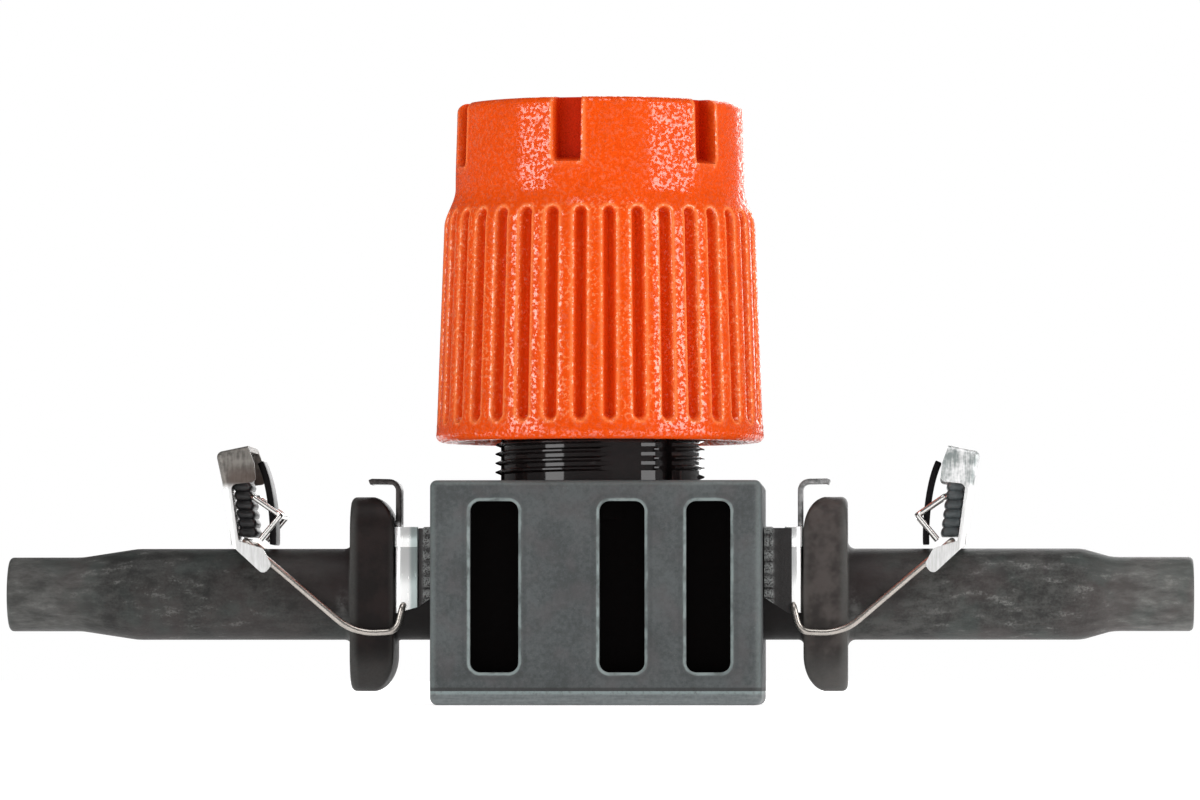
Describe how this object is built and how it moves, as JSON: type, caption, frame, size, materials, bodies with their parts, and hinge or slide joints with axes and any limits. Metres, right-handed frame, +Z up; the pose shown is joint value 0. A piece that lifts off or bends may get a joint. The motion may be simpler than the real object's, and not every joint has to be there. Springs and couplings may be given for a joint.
{
  "type": "drip emitter",
  "caption": "Inline adjustable drip emitter with two hose spigots, a screw-down needle cap and fold-over wire clips that hold the hose.",
  "frame": {"origin": "centre of the housing's base, on the face that it stands on", "axes": "+X from the inlet spigot to the outlet spigot, +Z up along the adjuster, +Y to the back"},
  "size_m": [0.065, 0.018, 0.0329],
  "materials": {
    "housing_grey": "fine matte texture",
    "valve_black": "gloss moulded",
    "spigot_grey": "scuffed satin",
    "seal_rubber": "matte",
    "grip_rubber": "matte ribbed",
    "seat_brass": "turned",
    "needle_white": "satin",
    "cap_orange": "satin with fine sparkle",
    "core_red": "satin",
    "clip_steel": "bright brushed stainless",
    "spring_dark": "dark oiled spring steel"
  },
  "bodies": {
    "root": {"housing_shell": "housing_grey", "base_cover": "housing_grey", "valve_body": "valve_black", "orifice_seat": "seat_brass", "inlet_spigot": "spigot_grey", "outlet_spigot": "spigot_grey", "inlet_o_ring": "seal_rubber", "outlet_o_ring": "seal_rubber", "left_clip_bracket": "clip_steel", "right_clip_bracket": "clip_steel", "left_saddle_pad": "grip_rubber", "right_saddle_pad": "grip_rubber"},
    "needle_slide": {"metering_needle": "needle_white", "stem_seal": "seal_rubber"},
    "cap": {"adjuster_cap": "cap_orange", "cap_core": "core_red", "needle_retainer": "core_red"},
    "left_lever": {"left_bail_wire": "clip_steel", "left_lever_channel": "clip_steel", "left_lever_pad": "grip_rubber", "left_leaf_spring": "spring_dark"},
    "left_loop": {"left_latch_loop": "clip_steel"},
    "right_lever": {"right_bail_wire": "clip_steel", "right_lever_channel": "clip_steel", "right_lever_pad": "grip_rubber", "right_leaf_spring": "spring_dark"},
    "right_loop": {"right_latch_loop": "clip_steel"}
  },
  "joints": [
    {"name": "cap_lift", "type": "slide", "parent": "root", "child": "needle_slide", "axis": [0, 0, 1], "range_m": [-0.0015, 0.001]},
    {"name": "cap_turn", "type": "hinge", "parent": "needle_slide", "child": "cap", "pos_m": [0, 0, 0.02], "axis": [0, 0, 1], "range_deg": [-1080, 720]},
    {"name": "left_lever_swing", "type": "hinge", "parent": "root", "child": "left_lever", "pos_m": [-0.01065, 0, 0.00545], "axis": [0, 1, 0], "range_deg": [0, 35]},
    {"name": "left_loop_swing", "type": "hinge", "parent": "left_lever", "child": "left_loop", "pos_m": [-0.01895, 0, 0.01142], "axis": [0, 1, 0], "range_deg": [-8, 8]},
    {"name": "right_lever_swing", "type": "hinge", "parent": "root", "child": "right_lever", "pos_m": [0.01065, 0, 0.00545], "axis": [0, -1, 0], "range_deg": [0, 35]},
    {"name": "right_loop_swing", "type": "hinge", "parent": "right_lever", "child": "right_loop", "pos_m": [0.01895, 0, 0.01142], "axis": [0, -1, 0], "range_deg": [-8, 8]}
  ],
  "couplings": [
    {"joint": "cap_turn", "follows": "cap_lift", "rad_per_m": 12566}
  ]
}
